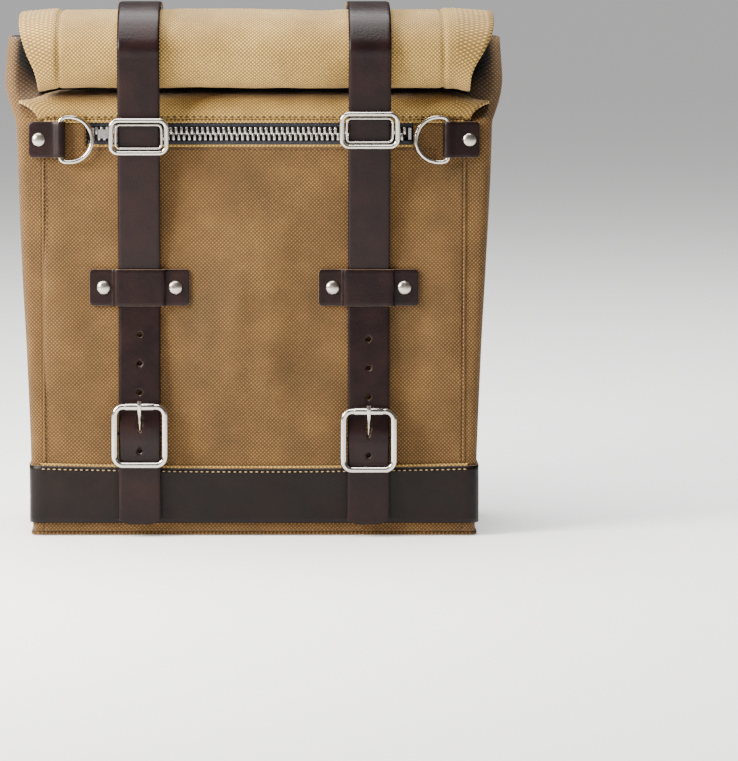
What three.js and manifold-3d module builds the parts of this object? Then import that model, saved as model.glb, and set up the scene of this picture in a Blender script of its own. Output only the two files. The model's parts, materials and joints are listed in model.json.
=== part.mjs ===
// A canvas and leather roll-top saddlebag. Millimetres, +Z up, the front faces -Y.
import * as THREE from 'three';
import Module from 'manifold-3d';

const wasm = await Module();
wasm.setup();

// ---- Driving sizes --------------------------------------------------------
const GAP = 0.3;              // clearance between parts that lie against each other
const FINE = 0.2;             // clearance under rivet heads and in folded leather
const CANVAS = 2.4;           // waxed canvas with its lining
const FRONT = -63;            // outer face of the front
const BACK = 62;              // outer face of the back
const HALF_BASE = 158;        // half width at the base
const HALF_TOP = 164;         // half width at the zip
const CORNER = 6;             // radius of the upright corners
const SEAM_X = 147;           // upright seam between front and gusset
const BACK_SEAM_X = 150;      // upright seam between back and gusset
const FLARE_FROM = 60;        // height where the sides start to flare
const ZIP_TOP = 291;          // top of the zip opening
const ZIP_BOTTOM = ZIP_TOP - 17;  // bottom of the zip opening
const ZIP_LEFT = -116;        // left end of the zip opening
const ZIP_RIGHT = 111;        // right end of the zip opening
const BACK_TOP = ZIP_TOP + 27;    // top of the back panel, where the roll hinges
const EAR_TOP = ZIP_TOP + 57;     // top of the folded ears
const EAR_HALF = 176;         // half width over the ears
const ROLL_HALF = 150;        // half length of the roll
const ROLL_THICK = 4;         // doubled canvas in the roll
const BAND_LOW = 9;           // lower edge of the leather band
const BAND_HIGH = 49.5;       // upper edge of the leather band
const BAND = 2;               // thickness of the band
const STRAP_X = 80;           // strap centre line from the middle
const STRAP_HALF = 15;        // half of the strap's 30 mm width
const STRAP = 3;              // strap thickness
const TIP_Z = 9;              // strap tip
const ANCHOR_Z = BACK_TOP - 82;   // strap's sewn end on the back
const KEEPER_Z = 175;         // middle of the keeper
const KEEPER_H = 25.7;        // keeper height
const KEEPER_HALF = 35;       // half of the keeper's length
const KEEPER_RIVET = 25;      // keeper rivet from the strap centre
const BAR_Z = { left: 72.6, right: 69.4 };       // buckle centre bars
const SLIDE_Z = { left: ZIP_TOP - 9, right: ZIP_TOP - 4.5 };  // strap slides
const BAR_Y = -67.5;          // buckle bar in front of the band
const BAR_R = 1.5;
const FRAME_Y = -74.5;        // plane of the buckle frame
const FRAME_R = 2.2;          // half of the buckle's cast section
const FRAME_HALF = 17.6;      // frame centre line, half width
const FRAME_UP = 19.6;        // roller above the bar
const FRAME_DOWN = 21.5;      // bottom rail below the bar
const ROLLER_R = 2.35;
const ROLLER_HALF = 10.35;
const D_X = 135;              // D-ring pivot from the middle
const D_Y = -67.5;
const D_Z = ZIP_TOP - 12.5;
const D_R = 1.65;             // D-ring wire
const TAB_H = 25;             // height of the D-ring tab
const TAB_END = 157;          // outer end of the tab
const TAB_RIVET = 149.8;
const RIVET_R = 5.2;          // rivet head
const RIVET_H = 2.2;
const SHANK_R = 2;
const ZIP_Z = ZIP_TOP - 8.5;  // centre line of the zip chain
const PITCH = 3.7;            // tooth pitch
const SLIDER_X = -90;         // slider at the closed end
const LOOP_X = STRAP_X - 40;  // hanger loops from the middle
const LOOP_HALF = 20;
const LOOP_Z = BACK_TOP - 96;

const CANVAS_LOOK = { color: 0xab8559, roughness: 0.85, metalness: 0 };
const ROLL_LOOK = { color: 0xd8bf8c, roughness: 0.85, metalness: 0 };
const LEATHER_LOOK = { color: 0x33242a, roughness: 0.5, metalness: 0 };
const METAL_LOOK = { color: 0xd5d0ca, roughness: 0.22, metalness: 1 };
const TAPE_LOOK = { color: 0x17181f, roughness: 0.9, metalness: 0 };
const BOARD_LOOK = { color: 0x2a2a2c, roughness: 0.6, metalness: 0 };

const bag = new THREE.Group();
const aboveZip = (points) => points.map(([y, up]) => [y, ZIP_TOP + up]);

// ---- Shape helpers --------------------------------------------------------
const toSolid = (geometry) => {
  const g = geometry.index ? geometry.toNonIndexed() : geometry;
  const keys = new Map();
  const verts = [];
  const tris = [];
  const p = g.attributes.position;
  for (let i = 0; i < p.count; i += 1) {
    const v = [p.getX(i), p.getY(i), p.getZ(i)];
    const key = v.map((c) => Math.round(c * 1e4)).join(' ');
    if (!keys.has(key)) {
      keys.set(key, verts.length / 3);
      verts.push(...v);
    }
    tris.push(keys.get(key));
  }
  const kept = [];
  for (let i = 0; i < tris.length; i += 3) {
    const [a, b, c] = tris.slice(i, i + 3);
    if (a !== b && b !== c && a !== c) kept.push(a, b, c);
  }
  return new wasm.Manifold(new wasm.Mesh({
    numProp: 3, vertProperties: new Float32Array(verts), triVerts: new Uint32Array(kept),
  }));
};

const toGeometry = (solid) => {
  const mesh = solid.getMesh();
  const g = new THREE.BufferGeometry();
  g.setAttribute('position', new THREE.BufferAttribute(mesh.vertProperties, 3));
  g.setIndex(new THREE.BufferAttribute(mesh.triVerts, 1));
  return g;
};

const join = (...parts) => toGeometry(parts.map(toSolid).reduce((a, b) => a.add(b)));
const cut = (whole, ...tools) => (
  toGeometry(tools.map(toSolid).reduce((a, b) => a.subtract(b), toSolid(whole)))
);

// A closed outline in two axes, drawn out along the third.
const AXES = {
  x: new THREE.Matrix4().set(0, 0, 1, 0, 1, 0, 0, 0, 0, 1, 0, 0, 0, 0, 0, 1),
  y: new THREE.Matrix4().set(1, 0, 0, 0, 0, 0, -1, 0, 0, 1, 0, 0, 0, 0, 0, 1),
  z: new THREE.Matrix4(),
};
const prism = (axis, outline, low, high) => {
  const shape = new THREE.Shape(outline.map(([u, v]) => new THREE.Vector2(u, v)));
  const g = new THREE.ExtrudeGeometry(shape, { depth: high - low, bevelEnabled: false });
  g.applyMatrix4(AXES[axis]);
  g.translate(axis === 'x' ? low : 0, axis === 'y' ? high : 0, axis === 'z' ? low : 0);
  return g;
};

const block = ([x0, x1], [y0, y1], [z0, z1]) => new THREE.BoxGeometry(x1 - x0, y1 - y0, z1 - z0)
  .translate((x0 + x1) / 2, (y0 + y1) / 2, (z0 + z1) / 2);

const rod = (axis, r, [low, high], [a, b], sides = 20) => {
  const g = new THREE.CylinderGeometry(r, r, high - low, sides);
  const mid = (low + high) / 2;
  if (axis === 'x') return g.rotateZ(Math.PI / 2).translate(mid, a, b);
  if (axis === 'y') return g.translate(a, mid, b);
  return g.rotateX(Math.PI / 2).translate(a, b, mid);
};

// The outline of a strip of one thickness laid along an open line.
const strip = (line, thick) => {
  const side = (sign) => line.map(([u, v], i) => {
    const [pu, pv] = line[Math.max(i - 1, 0)];
    const [nu, nv] = line[Math.min(i + 1, line.length - 1)];
    const a = new THREE.Vector2(u - pu, v - pv).normalize();
    const b = new THREE.Vector2(nu - u, nv - v).normalize();
    if (i === 0) a.copy(b);
    if (i === line.length - 1) b.copy(a);
    const t = a.clone().add(b).normalize();
    const reach = thick / 2 / Math.max(t.dot(a), 0.5);
    return [u - sign * t.y * reach, v + sign * t.x * reach];
  });
  return [...side(1), ...side(-1).reverse()];
};

const smooth = (points, count) => (
  new THREE.CatmullRomCurve3(points.map(([u, v]) => new THREE.Vector3(u, v, 0)), false, 'centripetal')
    .getSpacedPoints(count).map((p) => [p.x, p.y])
);

// A closed wire of round section in a plane that faces Y, centred on y = 0.
const wire = (line, r, sides = 8) => {
  const n = line.length;
  const verts = [];
  const index = [];
  line.forEach(([x, z], i) => {
    const [px, pz] = line[(i + n - 1) % n];
    const [nx, nz] = line[(i + 1) % n];
    const a = new THREE.Vector2(x - px, z - pz).normalize();
    const b = new THREE.Vector2(nx - x, nz - z).normalize();
    const t = a.clone().add(b).normalize();
    const stretch = 1 / Math.max(t.dot(a), 0.5);
    for (let k = 0; k < sides; k += 1) {
      const turn = (2 * Math.PI * k) / sides;
      const out = Math.cos(turn) * r * stretch;
      verts.push(x - t.y * out, Math.sin(turn) * r, z + t.x * out);
      const here = i * sides;
      const next = ((i + 1) % n) * sides;
      const up = (k + 1) % sides;
      index.push(here + k, here + up, next + k, next + k, here + up, next + up);
    }
  });
  const g = new THREE.BufferGeometry();
  g.setAttribute('position', new THREE.Float32BufferAttribute(verts, 3));
  g.setIndex(index);
  return facingOut(g);
};

const roundedLoop = (half, low, high, r, steps = 3) => {
  const line = [];
  [[half, high, 0], [-half, high, 1], [-half, low, 2], [half, low, 3]].forEach(([x, z, q]) => {
    const cx = x - Math.sign(x) * r;
    const cz = q < 2 ? z - r : z + r;
    for (let k = 0; k <= steps; k += 1) {
      const turn = ((q + k / steps) * Math.PI) / 2;
      line.push([cx + r * Math.cos(turn), cz + r * Math.sin(turn)]);
    }
  });
  return line;
};

// A skin between an outer and an inner grid of points, closed at its four edges.
const skin = (rows) => {
  const n = rows[0].outer.length;
  const verts = [];
  rows.forEach(({ outer, inner }) => [...outer, ...inner].forEach((p) => verts.push(...p)));
  const at = (r, i, inside) => r * 2 * n + (inside ? n : 0) + i;
  const index = [];
  const quad = (a, b, c, d) => index.push(a, b, c, a, c, d);
  for (let r = 0; r + 1 < rows.length; r += 1) {
    for (let i = 0; i + 1 < n; i += 1) {
      quad(at(r, i, 0), at(r, i + 1, 0), at(r + 1, i + 1, 0), at(r + 1, i, 0));
      quad(at(r, i, 1), at(r + 1, i, 1), at(r + 1, i + 1, 1), at(r, i + 1, 1));
    }
    quad(at(r, 0, 1), at(r, 0, 0), at(r + 1, 0, 0), at(r + 1, 0, 1));
    quad(at(r, n - 1, 0), at(r, n - 1, 1), at(r + 1, n - 1, 1), at(r + 1, n - 1, 0));
  }
  const top = rows.length - 1;
  for (let i = 0; i + 1 < n; i += 1) {
    quad(at(0, i, 1), at(0, i + 1, 1), at(0, i + 1, 0), at(0, i, 0));
    quad(at(top, i, 0), at(top, i + 1, 0), at(top, i + 1, 1), at(top, i, 1));
  }
  const g = new THREE.BufferGeometry();
  g.setAttribute('position', new THREE.Float32BufferAttribute(verts, 3));
  g.setIndex(index);
  return g;
};

const volume = (geometry) => {
  const g = geometry.index ? geometry.toNonIndexed() : geometry;
  const p = g.attributes.position;
  const at = (i) => new THREE.Vector3().fromBufferAttribute(p, i);
  let sum = 0;
  for (let i = 0; i < p.count; i += 3) sum += at(i).dot(at(i + 1).cross(at(i + 2))) / 6;
  return sum;
};

// Turns every face round where a mirrored shape has come out inside out.
const facingOut = (geometry) => {
  const g = geometry.index ? geometry.toNonIndexed() : geometry;
  if (volume(g) > 0) return g;
  const p = g.attributes.position;
  for (let i = 0; i < p.count; i += 3) {
    const [a, b] = [i, i + 1].map((k) => new THREE.Vector3().fromBufferAttribute(p, k));
    p.setXYZ(i, b.x, b.y, b.z);
    p.setXYZ(i + 1, a.x, a.y, a.z);
  }
  return g;
};
const mirrored = (g, sign) => facingOut(sign > 0 ? g : g.clone().scale(-1, 1, 1));

const put = (name, geometry, look, group = bag) => {
  const g = facingOut(geometry);
  g.computeVertexNormals();
  const mesh = new THREE.Mesh(g, new THREE.MeshStandardMaterial(look));
  mesh.name = name;
  group.add(mesh);
  return mesh;
};

// A rivet along Y: head on the near side, shank, and a washer that clamps from within.
const rivet = (x, z, head, washer) => {
  const way = Math.sign(head - washer);
  const reach = Math.abs(head - washer);
  const profile = [
    [0, -1], [4, -1], [4, 0], [SHANK_R, 0], [SHANK_R, reach], [RIVET_R, reach],
    [RIVET_R - 0.8, reach + 1.4], [0, reach + RIVET_H],
  ].map(([r, h]) => new THREE.Vector2(r, h));
  const g = new THREE.LatheGeometry(profile, 10);
  if (way < 0) g.rotateX(Math.PI);
  return g.translate(x, washer, z);
};
const rivetHole = (x, z, low, high) => rod('y', SHANK_R + 2 * GAP, [low, high], [x, z], 10);

const SIDES = [['left', -1], ['right', 1]];
const INSIDE_FRONT = FRONT + CANVAS;
const INSIDE_BACK = BACK - CANVAS;

// ---- Canvas shell ---------------------------------------------------------
const halfWidth = (z) => {
  const t = THREE.MathUtils.clamp((z - FLARE_FROM) / (ZIP_TOP - FLARE_FROM), 0, 1);
  return HALF_BASE + (HALF_TOP - HALF_BASE) * t;
};

const cornerLine = (cx, cy, r, from) => [0, 1, 2, 3].map((k) => {
  const turn = ((from + k / 3) * Math.PI) / 2;
  return [cx + r * Math.cos(turn), cy + r * Math.sin(turn)];
});

// One row of the gusset, from the front seam round both corners to the back seam.
const gussetRow = (z, inset) => {
  const half = halfWidth(z);
  const r = CORNER - inset;
  const line = [
    [SEAM_X + GAP, FRONT + inset],
    ...cornerLine(half - CORNER, FRONT + CORNER, r, -1),
    [half - inset, (FRONT + BACK) / 2],
    ...cornerLine(half - CORNER, BACK - CORNER, r, 0),
    [BACK_SEAM_X + GAP, BACK - inset],
  ];
  const rise = THREE.MathUtils.clamp((z - ZIP_TOP) / (EAR_TOP - ZIP_TOP), 0, 1);
  if (rise === 0) return line.map(([x, y]) => [x, y, z]);
  const lean = Math.sin(Math.min(rise * 1.7, 1) * Math.PI * 0.5);
  const inner = THREE.MathUtils.lerp(SEAM_X, ROLL_HALF + 3, Math.min(rise * 3, 1));
  const outer = THREE.MathUtils.lerp(half, EAR_HALF, lean);
  return line.map(([x, y]) => [
    inner + GAP + ((x - SEAM_X - GAP) / (half - SEAM_X)) * (outer - inner),
    BACK - (BACK - y) * (1 - 0.6 * rise),
    z,
  ]);
};
const earRows = [-51, -21, 0, 9, 21, 33, 45, 57].map((up) => ZIP_TOP + up);
const gussetRows = [CANVAS + GAP, 30, FLARE_FROM, 120, 180, ...earRows]
  .map((z) => ({ outer: gussetRow(z, 0), inner: gussetRow(z, CANVAS) }));
SIDES.forEach(([side, sign]) => {
  const wall = cut(
    facingOut(skin(gussetRows)),
    rivetHole(TAB_RIVET, D_Z, FRONT - 2, INSIDE_FRONT + 2),
  );
  put(`gusset_${side}`, mirrored(wall, sign), CANVAS_LOOK);
});

const keeperRivets = SIDES.flatMap(([side, sign]) => [-1, 1].map((end) => (
  { side, end: end * sign < 0 ? 'inner' : 'outer', x: sign * STRAP_X + end * KEEPER_RIVET }
)));
const pocketOutline = [
  [-SEAM_X, CANVAS + GAP], [SEAM_X, CANVAS + GAP], [SEAM_X, ZIP_TOP], [ZIP_RIGHT, ZIP_TOP],
  [ZIP_RIGHT, ZIP_BOTTOM], [ZIP_LEFT, ZIP_BOTTOM], [ZIP_LEFT, ZIP_TOP], [-SEAM_X, ZIP_TOP],
];
put('pocket_panel', cut(
  prism('y', pocketOutline, FRONT, INSIDE_FRONT),
  ...keeperRivets.map(({ x }) => rivetHole(x, KEEPER_Z, FRONT - 2, INSIDE_FRONT + 2)),
), CANVAS_LOOK);

const shoulderLine = smooth([
  [FRONT + CANVAS / 2, ZIP_TOP + GAP],
  ...aboveZip([[FRONT + CANVAS / 2, 7], [-57, 13.4], [-45, 16.4], [-20, 17.8], [4, 18.4]]),
], 16);
put('shoulder_panel', prism('x', strip(shoulderLine, CANVAS), -SEAM_X, SEAM_X), CANVAS_LOOK);

const anchorRivets = SIDES.flatMap(([side, sign]) => [
  { side, end: 'lower', x: sign * STRAP_X, z: ANCHOR_Z + 10 },
  { side, end: 'upper', x: sign * STRAP_X, z: ANCHOR_Z + 30 },
]);
const loopRivets = SIDES.flatMap(([side, sign]) => [
  { side, end: 'lower', x: sign * LOOP_X, z: LOOP_Z - 19 },
  { side, end: 'upper', x: sign * LOOP_X, z: LOOP_Z + 19 },
]);
const BOARD = 2.3;
const boardFace = INSIDE_BACK - GAP;
const backHoles = [...anchorRivets, ...loopRivets]
  .map(({ x, z }) => rivetHole(x, z, boardFace - BOARD - 2, BACK + 8));
const backBlock = (half, y, z) => cut(block([-half, half], y, z), ...backHoles);
put('back_panel', backBlock(BACK_SEAM_X, [INSIDE_BACK, BACK], [CANVAS + GAP, BACK_TOP]), CANVAS_LOOK);
put('back_board', backBlock(140, [boardFace - BOARD, boardFace], [8, BACK_TOP - 13]), BOARD_LOOK);
const floorLine = (half, front, back, r) => [
  ...cornerLine(half - r, back - r, r, 0), ...cornerLine(r - half, back - r, r, 1),
  ...cornerLine(r - half, front + r, r, 2), ...cornerLine(half - r, front + r, r, 3),
];
const floorEdge = floorLine(HALF_BASE - 1, FRONT + 1, BACK - 1, CORNER);
put('bottom_panel', prism('z', floorEdge, 0, CANVAS), CANVAS_LOOK);
put('base_board', prism('z', floorLine(150, -58, 56, 4), CANVAS + GAP, CANVAS + GAP + 2), BOARD_LOOK);
const liningY = [INSIDE_FRONT + 3, INSIDE_FRONT + 3.8];
put('pocket_lining', block([ZIP_LEFT - 10, ZIP_RIGHT + 10], liningY, [90, ZIP_TOP - 1]), CANVAS_LOOK);

// ---- Leather base band ----------------------------------------------------
const bandMiddle = GAP + BAND / 2;
const bandSide = [
  [HALF_BASE + bandMiddle, BACK - CORNER], [HALF_BASE + bandMiddle, 0],
  ...cornerLine(HALF_BASE - CORNER, FRONT + CORNER, CORNER + bandMiddle, -1).reverse(),
];
const bandLine = [...bandSide, ...bandSide.map(([x, y]) => [-x, y]).reverse()];
put('base_band', prism('z', strip(bandLine, BAND), BAND_LOW, BAND_HIGH), LEATHER_LOOK);

// ---- Rolled closure -------------------------------------------------------
const rollOver = aboveZip([
  [60.8, 29.8], [60.4, 42], [52, 59], [34, 71], [5, 76.2], [-40, 76.2], [-67, 69], [-79.6, 54],
]);
const rollUnder = aboveZip([
  [-77.4, 37], [-69, 25.4], [-50, 23], [-22, 27], [2, 37], [8, 50], [-4, 61], [-35, 65],
  [-59, 59], [-66, 47], [-58, 37], [-36, 36], [-14, 45],
]);
const coil = smooth([...rollOver, ...rollUnder], 48);
put('roll_top', prism('x', strip(coil, ROLL_THICK), -ROLL_HALF, ROLL_HALF),
  ROLL_LOOK);

// ---- Straps ---------------------------------------------------------------
const strapBack = BACK + GAP + STRAP / 2;
const overRoll = smooth([...rollOver, ...aboveZip([[-79.8, 47]])], 26);
const lift = ROLL_THICK / 2 + 3 * GAP + STRAP / 2;
const liftedOver = overRoll.map(([y, z], i) => {
  const [ay, az] = overRoll[Math.max(i - 1, 0)];
  const [by, bz] = overRoll[Math.min(i + 1, overRoll.length - 1)];
  const t = new THREE.Vector2(by - ay, bz - az).normalize();
  return [y + t.y * lift, z - t.x * lift];
});
const strapLow = FRONT - GAP * 2 - STRAP / 2;      // where it lies on the panel
const strapFront = liftedOver[liftedOver.length - 1];
const keeperTop = KEEPER_Z + KEEPER_H / 2;
const strapPath = (bar) => [
  [strapBack, ANCHOR_Z], [strapBack, BACK_TOP - 14], ...liftedOver,
  [strapLow, keeperTop], [strapLow, keeperTop - KEEPER_H],
  [-69.5, bar + FRAME_UP], [-72.8, bar + 4], [-72.8, bar - 4], [-71.2, bar - 13],
  [-70.3, bar - FRAME_DOWN - 2], [-70.3, TIP_Z],
];
const lean = Math.atan2(strapLow - strapFront[0], strapFront[1] - keeperTop);
const strapY = (z) => strapLow - (z - keeperTop) * Math.tan(lean);

SIDES.forEach(([side, sign]) => {
  const bar = BAR_Z[side];
  const x = sign * STRAP_X;
  const holes = [142, 122, 101.5, 61].map((z) => (
    rod('y', 2, [-90, FRONT + 1], [x, z + bar - BAR_Z.left], 10)
  ));
  const tongueSlot = block([x - 1.8, x + 1.8], [-90, FRONT + 1], [bar + 0.8, bar + 14.6]);
  const anchors = anchorRivets.filter((r) => r.side === side)
    .map((r) => rivetHole(r.x, r.z, BACK - 4, BACK + 8));
  const leather = prism('x', strip(strapPath(bar), STRAP), x - STRAP_HALF, x + STRAP_HALF);
  put(`strap_${side}`, cut(leather, ...holes, tongueSlot, ...anchors), LEATHER_LOOK);
});

// ---- Strap slides: a rectangular ring with a set-back middle bar -----------
SIDES.forEach(([side, sign]) => {
  const ringLine = roundedLoop(19.25, -11.5, 11.5, 5);
  const bar = rod('x', 1.6, [-18.6, 18.6], [3.5, 0], 16);
  const lug = (s) => block([s * 18.6 - 1.4, s * 18.6 + 1.4], [-3.6, 4.6], [-1.8, 1.8]);
  const ring = wire(ringLine, 1.75).translate(0, -3.6, 0);
  const slide = put(`strap_slide_${side}`, join(ring, bar, lug(-1), lug(1)),
    METAL_LOOK);
  slide.position.set(sign * STRAP_X, strapY(SLIDE_Z[side]), SLIDE_Z[side]);
  slide.rotation.x = lean;
});

// ---- Keepers --------------------------------------------------------------
const KEEPER = 2;
const keeperFoot = FRONT - GAP - KEEPER / 2;
const keeperArch = strapLow - STRAP / 2 - GAP - KEEPER / 2;
SIDES.forEach(([side, sign]) => {
  const half = [[18.3, keeperFoot], [16.4 + KEEPER / 2, keeperArch]];
  const line = [
    [-KEEPER_HALF, keeperFoot], [-half[0][0], half[0][1]], [-half[1][0], half[1][1]],
    [half[1][0], half[1][1]], [half[0][0], half[0][1]], [KEEPER_HALF, keeperFoot],
  ].map(([x, y]) => [x + sign * STRAP_X, y]);
  const leather = prism('z', strip(line, KEEPER), KEEPER_Z - KEEPER_H / 2, keeperTop);
  const mine = keeperRivets.filter((r) => r.side === side);
  const holes = mine.map(({ x }) => rivetHole(x, KEEPER_Z, -75, FRONT + 1));
  put(`keeper_${side}`, cut(leather, ...holes), LEATHER_LOOK);
  mine.forEach(({ x, end }) => put(
    `keeper_rivet_${side}_${end}`,
    rivet(x, KEEPER_Z, keeperFoot - KEEPER / 2 - FINE, INSIDE_FRONT + FINE),
    METAL_LOOK,
  ));
});

// ---- Roller buckles and their chapes --------------------------------------
SIDES.forEach(([side, sign]) => {
  const x = sign * STRAP_X;
  const z = BAR_Z[side];
  const railTop = z + FRAME_UP;
  const ring = wire(roundedLoop(FRAME_HALF, -FRAME_DOWN, FRAME_UP, 6), FRAME_R).translate(x, FRAME_Y, z);
  const gapForRoller = block([x - ROLLER_HALF - GAP, x + ROLLER_HALF + GAP], [FRAME_Y - 4, FRAME_Y + 4],
    [railTop - 4, railTop + 4]);
  const axle = rod('x', 1.2, [x - ROLLER_HALF - 2, x + ROLLER_HALF + 2], [FRAME_Y, railTop], 16);
  const bar = rod('x', BAR_R, [x - FRAME_HALF, x + FRAME_HALF], [BAR_Y, z], 16);
  const lug = (s) => block([x + s * FRAME_HALF - 1.5, x + s * FRAME_HALF + 1.5], [FRAME_Y, BAR_Y + BAR_R],
    [z - 2, z + 2]);
  put(`buckle_frame_${side}`, join(cut(ring, gapForRoller), axle, bar, lug(-1), lug(1)), METAL_LOOK);

  const tube = rod('x', ROLLER_R, [x - ROLLER_HALF, x + ROLLER_HALF], [FRAME_Y, railTop], 24);
  const bore = rod('x', 1.4, [x - ROLLER_HALF - 1, x + ROLLER_HALF + 1], [FRAME_Y, railTop], 24);
  put(`buckle_roller_${side}`, cut(tube, bore), METAL_LOOK);

  const armLine = smooth([
    [BAR_Y - 2.2, z + 1], [BAR_Y - 4, z + 6], [BAR_Y - 7.4, z + 10.8], [FRAME_Y - 3.6, z + 15],
    [FRAME_Y - 3.9, z + FRAME_UP + 0.5], [FRAME_Y - 3.6, z + FRAME_UP + 4],
  ], 14);
  const arm = prism('x', strip(armLine, 2.3), x - 1.3, x + 1.3);
  const eye = rod('x', 3.1, [x - 1.7, x + 1.7], [BAR_Y, z], 20);
  const eyeBore = rod('x', BAR_R + GAP, [x - 2.5, x + 2.5], [BAR_Y, z], 20);
  put(`buckle_tongue_${side}`, cut(join(arm, eye), eyeBore), METAL_LOOK);

  const fold = rod('x', 3.3, [x - 13, x + 13], [BAR_Y, z], 20);
  const tail = block([x - 13, x + 13], [-68.4, FRONT - GAP - BAND - GAP], [14, z]);
  const foldBore = rod('x', BAR_R + 0.4, [x - 14, x + 14], [BAR_Y, z], 20);
  const tongueGap = block([x - 2.2, x + 2.2], [BAR_Y - 6, FRONT], [z - 4.6, z + 6]);
  put(`buckle_chape_${side}`, cut(join(fold, tail), foldBore, tongueGap), LEATHER_LOOK);
});

// ---- D-rings in folded tabs -----------------------------------------------
const dLine = [[0, -12], [1, -14.7], [4, -15.7]];
for (let k = 0; k <= 12; k += 1) {
  const turn = ((k / 12) * 2 - 1) * (Math.PI / 2) * 0.98;
  dLine.push([6.8 + 15.5 * Math.cos(turn), 15.7 * Math.sin(turn)]);
}
dLine.push([4, 15.7], [1, 14.7], [0, 12]);
SIDES.forEach(([side, sign]) => {
  const ring = wire(dLine, D_R).rotateZ(Math.PI).translate(D_X, D_Y, D_Z);
  put(`d_ring_${side}`, mirrored(ring, sign), METAL_LOOK);

  const zs = [D_Z - TAB_H / 2, D_Z + TAB_H / 2];
  const fold = rod('z', 3.7, zs, [D_X, D_Y], 20);
  const tail = block([D_X, TAB_END], [D_Y + 0.9, FRONT - GAP], zs);
  const bore = rod('z', D_R + 0.35, [zs[0] - 1, zs[1] + 1], [D_X, D_Y], 20);
  const tab = cut(join(fold, tail), bore, rivetHole(TAB_RIVET, D_Z, -75, FRONT + 1));
  put(`d_ring_tab_${side}`, mirrored(tab, sign), LEATHER_LOOK);
  const tabRivet = rivet(sign * TAB_RIVET, D_Z, D_Y + 0.9 - FINE, INSIDE_FRONT + FINE);
  put(`d_ring_rivet_${side}`, tabRivet, METAL_LOOK);
});

// ---- Pocket zip -----------------------------------------------------------
const CHAIN_HALF = 4.5;
const toothY = [FRONT - 2.4, FRONT + 1.8];
const tapeY = [FRONT + 0.4, FRONT + 1.4];
const chainEnds = [ZIP_LEFT + 5, ZIP_RIGHT - 4];
const teethCount = Math.floor((chainEnds[1] - chainEnds[0]) / PITCH);
[['upper', 1], ['lower', -1]].forEach(([row, up]) => {
  const zs = (a, b) => [ZIP_Z + up * a, ZIP_Z + up * b].sort((p, q) => p - q);
  const bead = block(chainEnds, [toothY[0] + 0.4, toothY[1]], zs(CHAIN_HALF - 1.4, CHAIN_HALF));
  const teeth = [];
  for (let k = 0; k < teethCount; k += 1) {
    const x = chainEnds[0] + 0.4 + (k + (up > 0 ? 0 : 0.5)) * PITCH;
    teeth.push(block([x, x + 1.45], toothY, zs(-2, CHAIN_HALF - 0.7)));
  }
  put(`zip_teeth_${row}`, join(bead, ...teeth), METAL_LOOK);
  const edge = up > 0 ? ZIP_TOP - GAP - ZIP_Z : ZIP_Z - ZIP_BOTTOM - GAP;
  const tapeX = [ZIP_LEFT + GAP, ZIP_RIGHT - GAP];
  put(`zip_tape_${row}`, block(tapeX, tapeY, zs(CHAIN_HALF + GAP, edge)), TAPE_LOOK);
});
[['start', chainEnds[0] - 2.4], ['end', chainEnds[1] + 0.4]].forEach(([end, x]) => (
  put(`zip_stop_${end}`, block([x, x + 2], [toothY[0] + 0.6, toothY[1]], [ZIP_Z - 4, ZIP_Z + 4]), METAL_LOOK)
));

const plateY = [toothY[0] - FINE - 1.4, toothY[0] - FINE];
const wing = (s) => block([SLIDER_X - 9, SLIDER_X + 9], [plateY[0] + 0.2, FRONT], s > 0
  ? [ZIP_Z + CHAIN_HALF + GAP, ZIP_Z + CHAIN_HALF + GAP + 1.2]
  : [ZIP_Z - CHAIN_HALF - GAP - 1.2, ZIP_Z - CHAIN_HALF - GAP]);
const plateLine = [
  [-10.5, -3.4], [-9, -6], [9, -4.9], [10.5, -2.6], [10.5, 2.6], [9, 4.9], [-9, 6], [-10.5, 3.4],
]
  .map(([x, z]) => [SLIDER_X + x, ZIP_Z + z]);
const plate = prism('y', plateLine, ...plateY);
const PULL = 1.2;
const pullY = [plateY[0] - FINE - PULL, plateY[0] - FINE];
const bridgeTop = pullY[0] - FINE;
const bridge = [
  block([SLIDER_X - 1, SLIDER_X + 0.4], [bridgeTop - 1, plateY[0] + 0.3], [ZIP_Z - 1.3, ZIP_Z + 1.3]),
  block([SLIDER_X - 6, SLIDER_X - 4.6], [bridgeTop - 1, plateY[0] + 0.3], [ZIP_Z - 1.3, ZIP_Z + 1.3]),
  block([SLIDER_X - 6, SLIDER_X + 0.4], [bridgeTop - 1, bridgeTop], [ZIP_Z - 1.3, ZIP_Z + 1.3]),
];
put('zip_slider', join(plate, wing(1), wing(-1), ...bridge), METAL_LOOK);
const pullBar = SLIDER_X - 2.7;
put('zip_pull', cut(
  block([pullBar - 16, pullBar + 0.8], pullY, [ZIP_Z - 3, ZIP_Z + 3]),
  block([pullBar - 5, pullBar - 0.8], [pullY[0] - 1, pullY[1] + 1], [ZIP_Z - 1.9, ZIP_Z + 1.9]),
), METAL_LOOK);

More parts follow.
